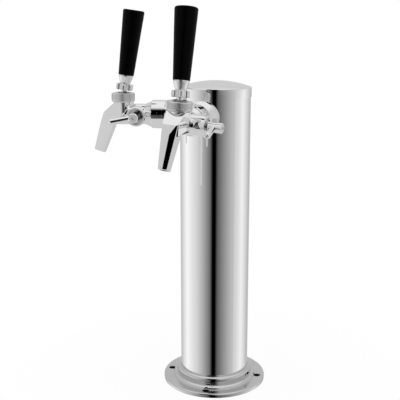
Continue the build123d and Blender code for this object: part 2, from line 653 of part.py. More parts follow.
def make_faucet_body():
    """Barrel with a threaded tail, a tower for the bonnet, a boss and the spout, all bored out."""
    shoulder_slope = (KNEE_REACH - SHOULDER_REACH) / (SHOULDER_RISE - KNEE_RISE)
    shoulder = make_shoulder()
    with BuildPart() as faucet_body:
        # tapered spout that runs up into the shoulder
        for height in (0, SPOUT_LENGTH):
            with BuildSketch(SPOUT_END.offset(height)):
                with BuildLine():
                    Polyline(*spout_outline(height), close=True)
                make_face()
        loft()
        # shoulder under the bonnet, cut to a slope in front, with a rounded knee
        add(shoulder)
        with BuildSketch(TAP_SIDE):
            with BuildLine():
                Polyline(
                    (SHOULDER_FORWARD + shoulder_slope * (SHOULDER_HEIGHT - TOWER_TOP), TOWER_TOP),
                    (KNEE_FORWARD, KNEE_HEIGHT),
                    (SPOUT_TIP_FORWARD + SPOUT_TIP_DEPTH, SPOUT_TIP_HEIGHT),
                    (SPOUT_TIP_FORWARD - SPOUT_TIP_DEPTH, SPOUT_TIP_HEIGHT - SPOUT_TIP_DEPTH),
                    (TOWER_FORWARD - TOWER_RADIUS, SHANK_HEIGHT - TOWER_RADIUS),
                    (TOWER_FORWARD - TOWER_RADIUS, TOWER_TOP),
                    close=True,
                )
            make_face()
        extrude(amount=SPOUT_TIP_DEPTH, both=True, mode=Mode.INTERSECT)
        crosswise = faucet_body.edges().filter_by_position(Axis.X, -SEAT_GAP, SEAT_GAP)
        upper = crosswise.filter_by_position(Axis.Z, SHANK_HEIGHT - KNEE_ROUND, TOWER_TOP - SEAT_GAP)
        fillet(upper.sort_by(Axis.Y)[0], KNEE_ROUND)
        # neck for the bonnet
        turn_on_tower([
            (0, SHANK_HEIGHT),
            (NECK_RADIUS, SHANK_HEIGHT),
            (NECK_RADIUS, TOWER_TOP + NECK_HEIGHT),
            (0, TOWER_TOP + NECK_HEIGHT),
        ])
        # barrel with its flare and tail, and the boss for the flow spindle
        turn_on_tap([
            (BODY_BACK, 0),
            (BODY_BACK, TAIL_RADIUS),
            (FLARE_START, TAIL_RADIUS),
            (FLARE_START, FLARE_RADIUS),
            (FLARE_END, BARREL_RADIUS),
            (TOWER_FORWARD, BARREL_RADIUS),
            (TOWER_FORWARD + BARREL_RADIUS, 0),
        ])
        turn_on_spindle([
            (0, 0),
            (0, BOSS_RADIUS),
            (BOSS_END - BOSS_EDGE, BOSS_RADIUS),
            (BOSS_END, BOSS_RADIUS - BOSS_EDGE),
            (BOSS_END, 0),
        ])
        # room for the coupling nut's rim beside the boss
        turn_on_tap([
            (BODY_BACK, TAIL_RADIUS),
            (BODY_BACK, NUT_RADIUS + LOOSE_GAP),
            (FLARE_START, NUT_RADIUS + LOOSE_GAP),
            (FLARE_START, TAIL_RADIUS),
        ], mode=Mode.SUBTRACT)
        # bores: inlet taper, valve bore, seat port, spout, lever pocket and spindle
        turn_on_tap([
            (BODY_BACK, 0),
            (BODY_BACK, TAIL_BORE_RADIUS),
            (TAIL_TAPER_END, VALVE_BORE_RADIUS),
            (SEAT_FORWARD, VALVE_BORE_RADIUS),
            (SEAT_FORWARD, PORT_RADIUS),
            (SEAT_FORWARD + PORT_RADIUS, PORT_RADIUS),
            (SEAT_FORWARD + 2 * PORT_RADIUS, 0),
        ], mode=Mode.SUBTRACT)
        with BuildSketch(SPOUT_END.offset(-SPOUT_LIP)):
            Circle(SPOUT_BORE_RADIUS)
        extrude(amount=SPOUT_BORE_LENGTH, mode=Mode.SUBTRACT)
        turn_on_tower([
            (0, SHANK_HEIGHT),
            (LEVER_HOLE_RADIUS, SHANK_HEIGHT),
            (LEVER_HOLE_RADIUS, POCKET_FLOOR),
            (POCKET_RADIUS, POCKET_FLOOR),
            (POCKET_RADIUS, PIVOT_HEIGHT),
            (0, PIVOT_HEIGHT),
        ], mode=Mode.SUBTRACT)
        turn_on_spindle([
            (0, 0),
            (0, BOSS_BORE_RADIUS),
            (GLAND_SEAT, BOSS_BORE_RADIUS),
            (GLAND_SEAT, GLAND_RADIUS + SEAT_GAP),
            (BOSS_END, GLAND_RADIUS + SEAT_GAP),
            (BOSS_END, 0),
        ], mode=Mode.SUBTRACT)
        tip_rim = faucet_body.faces().sort_by(Axis.Z)[0].outer_wire()
        chamfer(tip_rim.edges(), SPOUT_LIP)
    return faucet_body.part


# ---------------------------------------------------------------- flow control

def make_flow_cone():
    """Tapered plug in the inlet, with a stem that the spindle's crank pin shifts."""
    taper = (TAIL_BORE_RADIUS - VALVE_BORE_RADIUS) / (TAIL_TAPER_END - BODY_BACK)
    back_radius = TAIL_BORE_RADIUS - taper * (CONE_BACK - BODY_BACK) - CONE_GAP
    front_radius = TAIL_BORE_RADIUS - taper * (CONE_FRONT - BODY_BACK) - CONE_GAP
    slot_top = SPINDLE_HEIGHT - CRANK_THROW * cos(radians(CRANK_SWING)) + CRANK_SLOT_REACH
    slot_bottom = SPINDLE_HEIGHT - CRANK_THROW - CRANK_SLOT_REACH
    with BuildPart() as flow_cone:
        turn_on_tap([
            (CONE_BACK, 0),
            (CONE_BACK, back_radius),
            (CONE_FRONT, front_radius),
            (CONE_FRONT, CONE_STEM_RADIUS),
            (CONE_STEM_FRONT, CONE_STEM_RADIUS),
            (CONE_STEM_FRONT, 0),
        ])
        with BuildSketch(TAP_SIDE.offset(-CONE_SLOT_DEPTH)):
            with Locations((CRANK_PIN_FORWARD, (slot_top + slot_bottom) / 2)):
                Rectangle(2 * CRANK_SLOT_REACH, slot_top - slot_bottom)
        extrude(amount=-CONE_STEM_RADIUS, mode=Mode.SUBTRACT)
    return flow_cone.part


def make_flow_spindle():
    """Spindle with a crank disc and pin inside and a stud for the lever outside."""
    with BuildPart() as flow_spindle:
        turn_on_spindle([
            (CRANK_START, 0),
            (CRANK_START, CRANK_RADIUS),
            (CRANK_START + CRANK_THICKNESS, CRANK_RADIUS),
            (CRANK_START + CRANK_THICKNESS, SPINDLE_RADIUS),
            (FLOW_HUB_START, SPINDLE_RADIUS),
            (FLOW_HUB_START, SPINDLE_END_RADIUS),
            (KNOB_END - KNOB_SOCKET_DEPTH - 2 * KNOB_EDGE, SPINDLE_END_RADIUS),
            (KNOB_END - KNOB_SOCKET_DEPTH - 2 * KNOB_EDGE, 0),
        ])
        pin_centre = (SPINDLE_FORWARD - CRANK_PIN_FORWARD, CRANK_PIN_HEIGHT - SPINDLE_HEIGHT)
        with BuildSketch(across_spindle(CRANK_PIN_REACH)):
            with Locations(pin_centre):
                Circle(CRANK_PIN_RADIUS)
        extrude(amount=CRANK_START - CRANK_PIN_REACH)
    return flow_spindle.part


def make_spindle_seal():
    """Rubber ring between the crank disc and the gland."""
    ring_radius = (SPINDLE_RADIUS + BOSS_BORE_RADIUS) / 2
    ring_lateral = (CRANK_START + CRANK_THICKNESS + GLAND_SEAT) / 2
    with BuildPart() as spindle_seal:
        with BuildSketch(Plane.XY.offset(SPINDLE_HEIGHT)):
            with Locations((ring_lateral, ring_radius - SPINDLE_FORWARD)):
                Circle(SPINDLE_SEAL_CORD)
        revolve(axis=SPINDLE_AXIS)
    return spindle_seal.part


def make_spindle_gland():
    with BuildPart() as spindle_gland:
        with BuildSketch(across_spindle(GLAND_SEAT)):
            Circle(GLAND_RADIUS)
            Circle(SPINDLE_RADIUS + RUNNING_GAP, mode=Mode.SUBTRACT)
        extrude(amount=GLAND_END - GLAND_SEAT)
    return spindle_gland.part


def make_flow_lever():
    """Round arm with a hub over the spindle's stud and a rounded, centre-drilled end."""
    level_direction = Vector(sin(radians(FLOW_ARM_SPLAY)), -cos(radians(FLOW_ARM_SPLAY)), 0)
    arm_direction = level_direction.rotate(Axis.X, FLOW_ARM_DROP)
    arm_start = Vector(FLOW_ARM_LATERAL, -SPINDLE_FORWARD, SPINDLE_HEIGHT)
    arm_end = arm_start + arm_direction * FLOW_ARM_LENGTH
    with BuildPart() as flow_lever:
        with BuildSketch(Plane(origin=arm_start, z_dir=arm_direction)):
            Circle(FLOW_ARM_RADIUS)
        extrude(amount=FLOW_ARM_LENGTH)
        with Locations(arm_end):
            Sphere(FLOW_ARM_RADIUS)
        turn_on_spindle([
            (FLOW_HUB_START, 0),
            (FLOW_HUB_START, FLOW_HUB_RADIUS),
            (FLOW_HUB_END, FLOW_HUB_RADIUS),
            (FLOW_HUB_END, 0),
        ])
        with BuildSketch(across_spindle(FLOW_HUB_START)):
            Circle(SPINDLE_END_RADIUS + THREAD_GAP)
        extrude(amount=FLOW_HUB_END - FLOW_HUB_START, mode=Mode.SUBTRACT)
        dimple_floor = arm_end + arm_direction * (FLOW_ARM_RADIUS - FLOW_ARM_DIMPLE_DEPTH)
        with BuildSketch(Plane(origin=dimple_floor, z_dir=arm_direction)):
            Circle(FLOW_ARM_DIMPLE_RADIUS)
        extrude(amount=FLOW_ARM_RADIUS, mode=Mode.SUBTRACT)
    return flow_lever.part


def make_flow_knob():
    """Round cap nut that holds the lever on the spindle's stud."""
    with BuildPart() as flow_knob:
        turn_on_spindle([
            (FLOW_HUB_END, 0),
            (FLOW_HUB_END, KNOB_RADIUS),
            (KNOB_END - KNOB_EDGE, KNOB_RADIUS),
            (KNOB_END, KNOB_RADIUS - KNOB_EDGE),
            (KNOB_END, 0),
        ])
        with BuildSketch(across_spindle(FLOW_HUB_END)):
            Circle(SPINDLE_END_RADIUS + THREAD_GAP)
        extrude(amount=KNOB_END - KNOB_SOCKET_DEPTH - KNOB_EDGE - FLOW_HUB_END, mode=Mode.SUBTRACT)
        with BuildSketch(across_spindle(KNOB_END - KNOB_SOCKET_DEPTH)):
            RegularPolygon(KNOB_SOCKET_FLATS / 2, 6, major_radius=False)
        extrude(amount=KNOB_SOCKET_DEPTH, mode=Mode.SUBTRACT)
    return flow_knob.part


# ---------------------------------------------------------------- plunger

def make_plunger():
    """Shuttle with a notched guide, a slot for the lever's tip and a riveted nose."""
    guide_radius = VALVE_BORE_RADIUS - LOOSE_GAP
    with BuildPart() as plunger:
        turn_on_tap([
            (PLUNGER_GUIDE_FRONT, 0),
            (PLUNGER_GUIDE_FRONT, PLUNGER_CORE_RADIUS),
            (PLUNGER_FRONT, PLUNGER_CORE_RADIUS),
            (PLUNGER_FRONT, PLUNGER_NOSE_RADIUS),
            (SEAT_FORWARD, PLUNGER_NOSE_RADIUS),
            (SEAT_FORWARD, PLUNGER_RIVET_RADIUS),
            (SEAT_FORWARD + PLUNGER_RIVET_LENGTH, PLUNGER_RIVET_RADIUS),
            (SEAT_FORWARD + PLUNGER_RIVET_LENGTH, 0),
        ])
        with BuildSketch(across_tap(PLUNGER_GUIDE_FRONT)):
            with Locations((0, -PLUNGER_FLAT_DROP)):
                Rectangle(2 * PLUNGER_CORE_RADIUS, PLUNGER_CORE_RADIUS, align=(Align.CENTER, Align.MAX))
            with Locations((0, PLUNGER_FLAT_RISE)):
                Rectangle(2 * PLUNGER_CORE_RADIUS, PLUNGER_CORE_RADIUS, align=(Align.CENTER, Align.MIN))
        extrude(amount=PLUNGER_FRONT - PLUNGER_GUIDE_FRONT, mode=Mode.SUBTRACT)
        with BuildSketch(Plane(origin=(0, -TIP_FORWARD, SHANK_HEIGHT - PLUNGER_SLOT_DROP))):
            Rectangle(2 * PLUNGER_SLOT_HALF_WIDTH, 2 * TIP_SLOT_REACH)
        extrude(amount=2 * PLUNGER_CORE_RADIUS, mode=Mode.SUBTRACT)
        with BuildSketch(across_tap(PLUNGER_BACK)):
            Circle(guide_radius)
            with PolarLocations(guide_radius, PLUNGER_NOTCH_COUNT):
                Circle(PLUNGER_NOTCH_RADIUS, mode=Mode.SUBTRACT)
        extrude(amount=PLUNGER_GUIDE_LENGTH)
    return plunger.part


def make_plunger_seal():
    with BuildPart() as plunger_seal:
        with BuildSketch(across_tap(PLUNGER_FRONT)):
            Circle(PLUNGER_SEAL_RADIUS)
            Circle(PLUNGER_NOSE_RADIUS + THREAD_GAP, mode=Mode.SUBTRACT)
        extrude(amount=PLUNGER_SEAL_THICKNESS)
    return plunger_seal.part


# ---------------------------------------------------------------- bonnet and ball lever

def make_ball_seat():
    """Rubber cup under the lever's ball."""
    with BuildPart() as ball_seat:
        turn_on_tower([
            (LEVER_HOLE_RADIUS, POCKET_FLOOR),
            (BALL_SEAT_RADIUS, POCKET_FLOOR),
            (BALL_SEAT_RADIUS, POCKET_FLOOR + BALL_SEAT_THICKNESS),
            (LEVER_HOLE_RADIUS, POCKET_FLOOR + BALL_SEAT_THICKNESS),
        ])
        cut_ball_seat()
    return ball_seat.part


def make_ball_washer():
    """Friction washer over the lever's ball."""
    with BuildPart() as ball_washer:
        turn_on_tower([
            (0, BALL_WASHER_BOTTOM),
            (BALL_WASHER_RADIUS, BALL_WASHER_BOTTOM),
            (BALL_WASHER_RADIUS, BALL_WASHER_TOP),
            (0, BALL_WASHER_TOP),
        ])
        cut_ball_seat()
    return ball_washer.part


def make_bonnet():
    """Round nut that holds the ball down, with a shallow domed top."""
    thread = NECK_RADIUS + SEAT_GAP
    with BuildPart() as bonnet:
        turn_on_tower([
            (thread, BONNET_BOTTOM),
            (BONNET_FOOT_RADIUS, BONNET_BOTTOM),
            (BONNET_RADIUS, BONNET_BOTTOM + BONNET_FOOT_HEIGHT),
            (BONNET_RADIUS, BONNET_SHOULDER - BONNET_EDGE),
            (BONNET_RADIUS - BONNET_EDGE, BONNET_SHOULDER),
            (BONNET_MOUTH_RADIUS, BONNET_TOP),
            (BALL_WASHER_RADIUS - BALL_WASHER_THICKNESS, BALL_WASHER_TOP),
            (BALL_WASHER_RADIUS + SEAT_GAP, BALL_WASHER_TOP),
            (BALL_WASHER_RADIUS + SEAT_GAP, PIVOT_HEIGHT),
            (thread, PIVOT_HEIGHT),
        ])
    return bonnet.part


def make_ball_lever():
    """Ball on a stem: its tip reaches down into the plunger and its stud carries the handle."""
    with BuildPart() as ball_lever:
        with Locations(PIVOT):
            Sphere(BALL_RADIUS)
        with Locations(PIVOT - LEVER_UP * TIP_ARM):
            Sphere(LEVER_TIP_RADIUS)
        turn_on_lever([
            (0, -TIP_ARM),
            (LEVER_TIP_STEM_RADIUS, -TIP_ARM),
            (LEVER_TIP_STEM_RADIUS, 0),
            (LEVER_NECK_RADIUS, 0),
            (LEVER_NECK_RADIUS, LEVER_NECK_LENGTH),
            (LEVER_STUD_RADIUS, LEVER_NECK_LENGTH),
            (LEVER_STUD_RADIUS, LEVER_STUD_END),
            (0, LEVER_STUD_END),
        ])
    return ball_lever.part


def make_star_collar():
    """Lobed nut that locks the handle on the lever's stud."""
    with BuildPart() as star_collar:
        with BuildSketch(LEVER_ACROSS.offset(COLLAR_BOTTOM)):
            Circle(STAR_CORE_RADIUS)
            with PolarLocations(STAR_RADIUS - STAR_LOBE_RADIUS, STAR_LOBES):
                Circle(STAR_LOBE_RADIUS)
        extrude(amount=COLLAR_THICKNESS)
        turn_on_lever([
            (LEVER_STUD_RADIUS + THREAD_GAP, COLLAR_BOTTOM),
            (STAR_RADIUS - STAR_EDGE, COLLAR_BOTTOM),
            (STAR_RADIUS, COLLAR_BOTTOM + STAR_EDGE),
            (STAR_RADIUS, COLLAR_UPPER - STAR_EDGE),
            (STAR_RADIUS - STAR_EDGE, COLLAR_UPPER),
            (LEVER_STUD_RADIUS + THREAD_GAP, COLLAR_UPPER),
        ], mode=Mode.INTERSECT)
    return star_collar.part


def make_handle_ferrule():
    """Flared metal collar between the nut and the grip."""
    with BuildPart() as handle_ferrule:
        turn_on_lever([
            (LEVER_STUD_RADIUS + THREAD_GAP, COLLAR_UPPER),
            (FERRULE_BOTTOM_RADIUS, COLLAR_UPPER),
            (FERRULE_TOP_RADIUS, FERRULE_TOP - FERRULE_LIP),
            (FERRULE_TOP_RADIUS, FERRULE_TOP),
            (LEVER_STUD_RADIUS + THREAD_GAP, FERRULE_TOP),
        ])
    return handle_ferrule.part


def make_handle_grip():
    """Black tapered grip, wider at its top."""
    with BuildPart() as handle_grip:
        turn_on_lever([
            (0, FERRULE_TOP),
            (GRIP_BOTTOM_RADIUS, FERRULE_TOP),
            (GRIP_TOP_RADIUS, GRIP_TOP),
            (0, GRIP_TOP),
        ])
        rims = handle_grip.edges().filter_by(GeomType.CIRCLE).sort_by(SortBy.RADIUS)
        fillet(rims[-1], GRIP_TOP_ROUND)
        fillet(rims[0], GRIP_BOTTOM_ROUND)
        with BuildSketch(LEVER_ACROSS.offset(FERRULE_TOP)):
            Circle(LEVER_STUD_RADIUS + THREAD_GAP)
        extrude(amount=LEVER_STUD_END + LOOSE_GAP - FERRULE_TOP, mode=Mode.SUBTRACT)
    return handle_grip.part


# ---------------------------------------------------------------- assembly

TOWER_PIECES = {
    "base_flange": make_base_flange,
    "collar_screw": make_collar_screw,
    "column_tube": make_column_tube,
    "tower_cap": make_tower_cap,
}
SHANK_PIECES = {
    "shank_flange": make_shank_flange,
    "shank": make_shank,
    "saddle_washer": make_saddle_washer,
    "lock_nut": make_lock_nut,
    "inlet_gasket": make_inlet_gasket,
    "inlet_elbow": make_inlet_elbow,
    "union_nut": make_union_nut,
    "coupling_gasket": make_coupling_gasket,
}
FAUCET_PIECES = {
    "faucet_body": make_faucet_body,
    "flow_cone": make_flow_cone,
    "flow_spindle": make_flow_spindle,
    "spindle_seal": make_spindle_seal,
    "spindle_gland": make_spindle_gland,
    "flow_lever": make_flow_lever,
    "flow_knob": make_flow_knob,
    "plunger": make_plunger,
    "plunger_seal": make_plunger_seal,
    "ball_seat": make_ball_seat,
    "ball_washer": make_ball_washer,
    "bonnet": make_bonnet,
}
HANDLE_PIECES = {
    "ball_lever": make_ball_lever,
    "star_collar": make_star_collar,
    "handle_ferrule": make_handle_ferrule,
    "handle_grip": make_handle_grip,
}


def save(part, name):
    """Label a finished piece and write its file."""
    part.label = name
    export_step(part, f"parts/{name}.step")


def save_pair(piece, name, rolls, leans):
    """Write a tap piece for both taps: roll it on the tap axis, lean it at the pivot, turn it to its tap."""
    for side, angle in TAP_ANGLES.items():
        leaned = piece.rotate(Axis(PIVOT, ROLL_AXIS.direction), leans[side])
        rolled = leaned.rotate(ROLL_AXIS, rolls[side])
        save(rolled.rotate(Axis.Z, angle), f"{side}_{name}")


NO_TURN = {side: 0.0 for side in TAP_ANGLES}
HANDLE_PLAY = {side: HANDLE_ROLLS[side] - FAUCET_ROLLS[side] for side in TAP_ANGLES}

os.makedirs("parts", exist_ok=True)
for name, make in TOWER_PIECES.items():
    save(make(), name)
for name, make in SHANK_PIECES.items():
    save_pair(make(), name, NO_TURN, NO_TURN)
save_pair(make_coupling_nut(), "coupling_nut", NUT_TURNS, NO_TURN)
for name, make in FAUCET_PIECES.items():
    save_pair(make(), name, FAUCET_ROLLS, NO_TURN)
for name, make in HANDLE_PIECES.items():
    save_pair(make(), name, FAUCET_ROLLS, HANDLE_PLAY)
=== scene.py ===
import json
import math

import bpy
from mathutils import Euler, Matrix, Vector


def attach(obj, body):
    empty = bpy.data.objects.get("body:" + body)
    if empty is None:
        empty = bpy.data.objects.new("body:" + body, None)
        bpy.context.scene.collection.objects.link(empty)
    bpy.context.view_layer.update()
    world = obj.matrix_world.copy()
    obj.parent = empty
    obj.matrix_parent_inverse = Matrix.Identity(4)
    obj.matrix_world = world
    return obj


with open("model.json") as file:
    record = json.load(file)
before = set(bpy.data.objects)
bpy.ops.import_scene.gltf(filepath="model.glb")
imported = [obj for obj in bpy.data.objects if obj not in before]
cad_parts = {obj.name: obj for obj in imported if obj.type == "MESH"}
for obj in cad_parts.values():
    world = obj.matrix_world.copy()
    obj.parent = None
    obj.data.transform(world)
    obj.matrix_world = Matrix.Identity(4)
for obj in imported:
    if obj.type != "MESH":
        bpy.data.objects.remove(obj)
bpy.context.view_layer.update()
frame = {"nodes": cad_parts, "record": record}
NODES = frame["nodes"]

# ---- the tower's sizes that the scene's pieces and materials follow, in metres and degrees ----
SHANK_HEIGHT = 0.3029
TOWER_FORWARD = 0.1000
TAP_ANGLES = {"left": -36.5, "right": 36.5}
FAUCET_ROLLS = {"left": 0.0, "right": 4.6}
FLANGE_RADIUS = 0.0577
FLANGE_RIM = 0.0030
FLANGE_TOP = 0.0045
BONNET_RADIUS = 0.0125
KNURL_BOTTOM = 0.3185
KNURL_TOP = 0.3245
KNURL_RIBS = 72
KNURL_RIB_RADIUS = 0.00032
KNURL_RIB_SIDES = 8

# ---- finishes: a scale counts repeats in a metre, a depth is in metres ----
SMEAR_SCALE = 60.0
SMEAR_WINDOW = (0.35, 0.75)
SCRATCH_SCALE = 4200.0
SCRATCH_STRETCH = (1.0, 1.0, 0.04)
SCRATCH_DEPTH = 0.000002
SCRATCH_STRENGTH = 0.15
GRAIN_SCALE = 1500.0
GRAIN_DRIFT_SCALE = 45.0
GRAIN_DEPTH = 0.000012
GRAIN_STRENGTH = 0.35
PEBBLE_SCALE = 1800.0
PEBBLE_DRIFT_SCALE = 90.0
PEBBLE_STRENGTH = 0.4
DRIFT_WINDOW = (0.3, 0.7)
PLAIN_SPECULAR = 0.5
GRIP_SPECULAR = 0.05
FLAT_TOP_WINDOW = (0.9, 0.99)
COLLAR_ROUGHNESS = 0.05
# depth and tone of the painted shade that darkens the flange's bolt holes
HOLE_SHADE_DEPTH = 0.0006
HOLE_SHADE_TONE = 0.01

# ---- studio, in metres, degrees and watts; lens and sensor in millimetres ----
CAMERA_YAW = 58.3
CAMERA_PITCH = 12.56
CAMERA_SIDE = -0.01647
CAMERA_DISTANCE = 0.8011
CAMERA_HEIGHT = 0.3870
CAMERA_LENS = 66.8
SENSOR_WIDTH = 36.0
FLOOR_HALF_WIDTH = 3.0
FLOOR_GLOW = 0.95
FLOOR_SHADOW_START = 0.08
FLOOR_SHADOW_END = 0.30
PAPER_TONE = 0.9
# tone of the tent's wall below the lens, by angle from the camera's direction, left negative
TENT_LOW_TONES = (
    (-180, 0.62),
    (-150, 0.56),
    (-106, 1.00),
    (-60, 0.66),
    (-17, 0.16),
    (-11, 0.02),
    (-9, 0.00),
    (1, 0.00),
    (8, 0.11),
    (60, 0.55),
    (100, 0.93),
    (146, 0.48),
    (180, 0.62),
)
# the same above the lens, where an even cloth has one dark slot
TENT_HIGH_TONES = (
    (-180, 0.64),
    (-34, 0.60),
    (-22, 0.10),
    (-17, 0.00),
    (3, 0.00),
    (9, 0.30),
    (16, 0.60),
    (180, 0.64),
)
# rise above the horizon over which the wall goes to its upper tones, to the roof and to the floor
TENT_SPLIT_RISE = (-5.0, -1.0)
TENT_ROOF_RISE = (34.0, 62.0)
TENT_ROOF_TONE = 0.86
TENT_FLOOR_RISE = (-28.0, -36.0)
TENT_FLOOR_TONE = 0.62
TOP_LIGHT_WIDTH = 1.2
TOP_LIGHT_HEIGHT = 1.5
TOP_LIGHT_POWER = 3.0
TAP_LIGHT_WIDTH = 0.13
TAP_LIGHT_LENGTH = 0.10
TAP_LIGHT_SIDE = -0.162
TAP_LIGHT_FRONT = 0.105
TAP_LIGHT_HEIGHT = 0.256
TAP_LIGHT_TURN = 22.0
TAP_LIGHT_LIFT = 14.0
TAP_LIGHT_POWER = 0.0021
TAP_LIGHT_SPREAD = 64.0

# places of a Mix node's two values and its result, whose labels repeat for every kind of value
MIX_PLACES = {"FLOAT": (2, 3, 0), "RGBA": (6, 7, 2)}


# ---------------------------------------------------------------- node helpers

def grey(tone):
    """Opaque colour of one even tone."""
    return (tone, tone, tone, 1.0)


def feed(tree, socket, value):
    """Link a socket to another one, or set it to a number or a colour."""
    if isinstance(value, (int, float, tuple)):
        socket.default_value = value
    else:
        tree.links.new(value, socket)


def socket_group(name, inputs, outputs):
    """New shader group with its named sockets, and its entry and exit nodes."""
    group = bpy.data.node_groups.new(name, "ShaderNodeTree")
    for label, kind, value in inputs:
        socket = group.interface.new_socket(label, in_out="INPUT", socket_type=kind)
        if value is not None:
            socket.default_value = value
    for label, kind in outputs:
        group.interface.new_socket(label, in_out="OUTPUT", socket_type=kind)
    entry = group.nodes.new("NodeGroupInput")
    leave = group.nodes.new("NodeGroupOutput")
    return group, entry, leave


def math_node(tree, operation, *values):
    """Math node fed by sockets or numbers; returns its result."""
    node = tree.nodes.new("ShaderNodeMath")
    node.operation = operation
    for socket, value in zip(node.inputs, values):
        feed(tree, socket, value)
    return node.outputs["Value"]


def spread(tree, value, window, results=(0.0, 1.0), smooth=False):
    """Map Range node that leads a window of values over to a span of results."""
    node = tree.nodes.new("ShaderNodeMapRange")
    node.interpolation_type = "SMOOTHSTEP" if smooth else "LINEAR"
    tree.links.new(value, node.inputs["Value"])
    for label, end in zip(("From Min", "From Max", "To Min", "To Max"), (*window, *results)):
        feed(tree, node.inputs[label], end)
    return node.outputs["Result"]


def noise(tree, vector, scale, detail=2.0, roughness=0.5):
    """Noise node over a vector, at a scale given by a socket or a number; returns its pattern."""
    node = tree.nodes.new("ShaderNodeTexNoise")
    node.inputs["Detail"].default_value = detail
    node.inputs["Roughness"].default_value = roughness
    tree.links.new(vector, node.inputs["Vector"])
    feed(tree, node.inputs["Scale"], scale)
    return node.outputs["Fac"]


def blend(tree, kind, share, low, high):
    """Mix node that goes from one value to another, FLOAT or RGBA; returns its result."""
    low_place, high_place, result_place = MIX_PLACES[kind]
    mix = tree.nodes.new("ShaderNodeMix")
    mix.data_type = kind
    tree.links.new(share, mix.inputs["Factor"])
    feed(tree, mix.inputs[low_place], low)
    feed(tree, mix.inputs[high_place], high)
    return mix.outputs[result_place]


def split_vector(tree, vector):
    """Outputs of a node that takes a vector apart, by the names X, Y and Z."""
    parts = tree.nodes.new("ShaderNodeSeparateXYZ")
    tree.links.new(vector, parts.inputs["Vector"])
    return parts.outputs


def object_place(tree):
    """The object's own coordinates."""
    return tree.nodes.new("ShaderNodeTexCoord").outputs["Object"]


# ---------------------------------------------------------------- shared effects

def make_hand_polish():
    """Polished metal: faint smears in the gloss and fine wiping scratches."""
    group, entry, leave = socket_group(
        "hand_polish",
        [
            ("Vector", "NodeSocketVector", None),
            ("Smear Scale", "NodeSocketFloat", SMEAR_SCALE),
            ("Clean Roughness", "NodeSocketFloat", 0.02),
            ("Smeared Roughness", "NodeSocketFloat", 0.06),
        ],
        [("Roughness", "NodeSocketFloat"), ("Scratches", "NodeSocketFloat")],
    )
    given = entry.outputs
    smear = noise(group, given["Vector"], given["Smear Scale"], detail=3.0, roughness=0.55)
    gloss = (given["Clean Roughness"], given["Smeared Roughness"])
    rough = spread(group, smear, SMEAR_WINDOW, gloss, smooth=True)
    stretch = group.nodes.new("ShaderNodeMapping")
    stretch.inputs["Scale"].default_value = SCRATCH_STRETCH
    group.links.new(given["Vector"], stretch.inputs["Vector"])
    scratches = noise(group, stretch.outputs["Vector"], SCRATCH_SCALE, roughness=0.6)
    group.links.new(rough, leave.inputs["Roughness"])
    group.links.new(scratches, leave.inputs["Scratches"])
    return group


def make_satin_grain():
    """Satin metal: short grain of the belt, with a slow change of tone and gloss."""
    group, entry, leave = socket_group(
        "satin_grain",
        [
            ("Vector", "NodeSocketVector", None),
            ("Grain Scale", "NodeSocketFloat", GRAIN_SCALE),
            ("Low Roughness", "NodeSocketFloat", 0.2),
            ("High Roughness", "NodeSocketFloat", 0.34),
            ("Low Tone", "NodeSocketFloat", 0.62),
            ("High Tone", "NodeSocketFloat", 0.74),
        ],
        [
            ("Roughness", "NodeSocketFloat"),
            ("Tone", "NodeSocketFloat"),
            ("Height", "NodeSocketFloat"),
        ],
    )
    given = entry.outputs
    grain = noise(group, given["Vector"], given["Grain Scale"], detail=3.0, roughness=0.6)
    drift = noise(group, given["Vector"], GRAIN_DRIFT_SCALE)
    mixed = math_node(group, "MULTIPLY", math_node(group, "ADD", grain, drift), 0.5)
    for label in ("Roughness", "Tone"):
        ends = (given[f"Low {label}"], given[f"High {label}"])
        group.links.new(spread(group, mixed, DRIFT_WINDOW, ends), leave.inputs[label])
    group.links.new(grain, leave.inputs["Height"])
    return group


def make_moulded_skin():
    """Moulded plastic or rubber: fine pebbling, with a slow change of gloss and tone."""
    group, entry, leave = socket_group(
        "moulded_skin",
        [
            ("Vector", "NodeSocketVector", None),
            ("Pebble Scale", "NodeSocketFloat", PEBBLE_SCALE),
            ("Low Roughness", "NodeSocketFloat", 0.25),
            ("High Roughness", "NodeSocketFloat", 0.4),
            ("Dark Colour", "NodeSocketColor", grey(0.01)),
            ("Light Colour", "NodeSocketColor", grey(0.02)),
        ],
        [
            ("Colour", "NodeSocketColor"),
            ("Roughness", "NodeSocketFloat"),
            ("Height", "NodeSocketFloat"),
        ],
    )
    given = entry.outputs
    pebbles = group.nodes.new("ShaderNodeTexVoronoi")
    pebbles.feature = "SMOOTH_F1"
    group.links.new(given["Vector"], pebbles.inputs["Vector"])
    group.links.new(given["Pebble Scale"], pebbles.inputs["Scale"])
    drift = noise(group, given["Vector"], PEBBLE_DRIFT_SCALE, detail=3.0, roughness=0.55)
    rough = spread(group, drift, DRIFT_WINDOW, (given["Low Roughness"], given["High Roughness"]))
    colour = blend(group, "RGBA", drift, given["Dark Colour"], given["Light Colour"])
    group.links.new(colour, leave.inputs["Colour"])
    group.links.new(rough, leave.inputs["Roughness"])
    group.links.new(pebbles.outputs["Distance"], leave.inputs["Height"])
    return group


HAND_POLISH = make_hand_polish()
SATIN_GRAIN = make_satin_grain()
MOULDED_SKIN = make_moulded_skin()


# ---------------------------------------------------------------- materials

def start_material(name, group, values):
    """Material whose shader takes its roughness from one shared effect with its own values."""
    material = bpy.data.materials.new(name)
    material.use_nodes = True
    tree = material.node_tree
    shader = tree.nodes["Principled BSDF"]
    effect = tree.nodes.new("ShaderNodeGroup")
    effect.node_tree = group
    tree.links.new(object_place(tree), effect.inputs["Vector"])
    for label, value in values.items():
        effect.inputs[label].default_value = value
    tree.links.new(effect.outputs["Roughness"], shader.inputs["Roughness"])
    return material, tree, shader, effect


